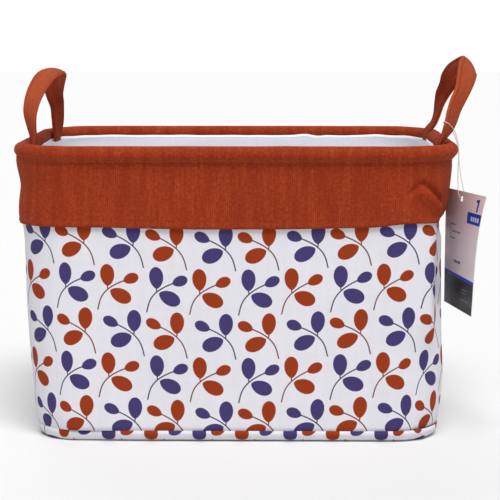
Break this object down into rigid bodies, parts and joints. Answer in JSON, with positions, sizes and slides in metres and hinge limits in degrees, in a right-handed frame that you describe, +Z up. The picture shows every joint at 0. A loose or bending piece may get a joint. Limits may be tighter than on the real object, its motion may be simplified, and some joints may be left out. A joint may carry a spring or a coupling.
{
  "type": "fabric storage bin",
  "caption": "Soft rectangular cloth bin with a wire-stiffened rolled rim, deep plain cuff, leaf-print canvas walls, white lining, strap loop handles and a hang tag on a thread",
  "frame": {"origin": "on the floor under the middle of the bin", "axes": "+X along the long side towards the end that carries the hang tag, +Y from the front panel to the back panel, +Z up"},
  "size_m": [0.4048, 0.27, 0.3249],
  "materials": {
    "rust_cloth": "matte",
    "printed_canvas": "matte",
    "white_lining": "matte",
    "steel_wire": "satin",
    "stiff_board": "matte",
    "tag_card": "satin",
    "nylon_thread": "satin",
    "lock_plastic": "satin"
  },
  "bodies": {
    "bin": {"rim_wire": "steel_wire", "band_front": "rust_cloth", "band_back": "rust_cloth", "body_front": "printed_canvas", "body_back": "printed_canvas", "liner_front": "white_lining", "liner_back": "white_lining", "base_panel": "printed_canvas", "base_board": "stiff_board", "liner_base": "white_lining", "strap_end_left_front": "rust_cloth", "strap_end_left_back": "rust_cloth", "strap_end_right_front": "rust_cloth", "strap_end_right_back": "rust_cloth", "tag_thread": "nylon_thread", "tag_lock": "lock_plastic"},
    "loop_left": {"handle_left": "rust_cloth"},
    "loop_right": {"handle_right": "rust_cloth"},
    "tag": {"tag_card": "tag_card"}
  },
  "joints": [
    {"name": "handle_left_hinge", "type": "hinge", "parent": "bin", "child": "loop_left", "pos_m": [-0.1761, 0, 0.2774], "axis": [0, 1, 0], "range_deg": [-100, 130], "deforming": ["strap_end_left_front", "strap_end_left_back"]},
    {"name": "handle_right_hinge", "type": "hinge", "parent": "bin", "child": "loop_right", "pos_m": [0.1868, 0, 0.2787], "axis": [0, -1, 0], "range_deg": [-75, 100], "deforming": ["strap_end_right_front", "strap_end_right_back"]},
    {"name": "tag_swing", "type": "hinge", "parent": "bin", "child": "tag", "pos_m": [0.1934, -0.088, 0.2058], "axis": [-0.9481, -0.3181, 0], "range_deg": [0, 75]}
  ]
}
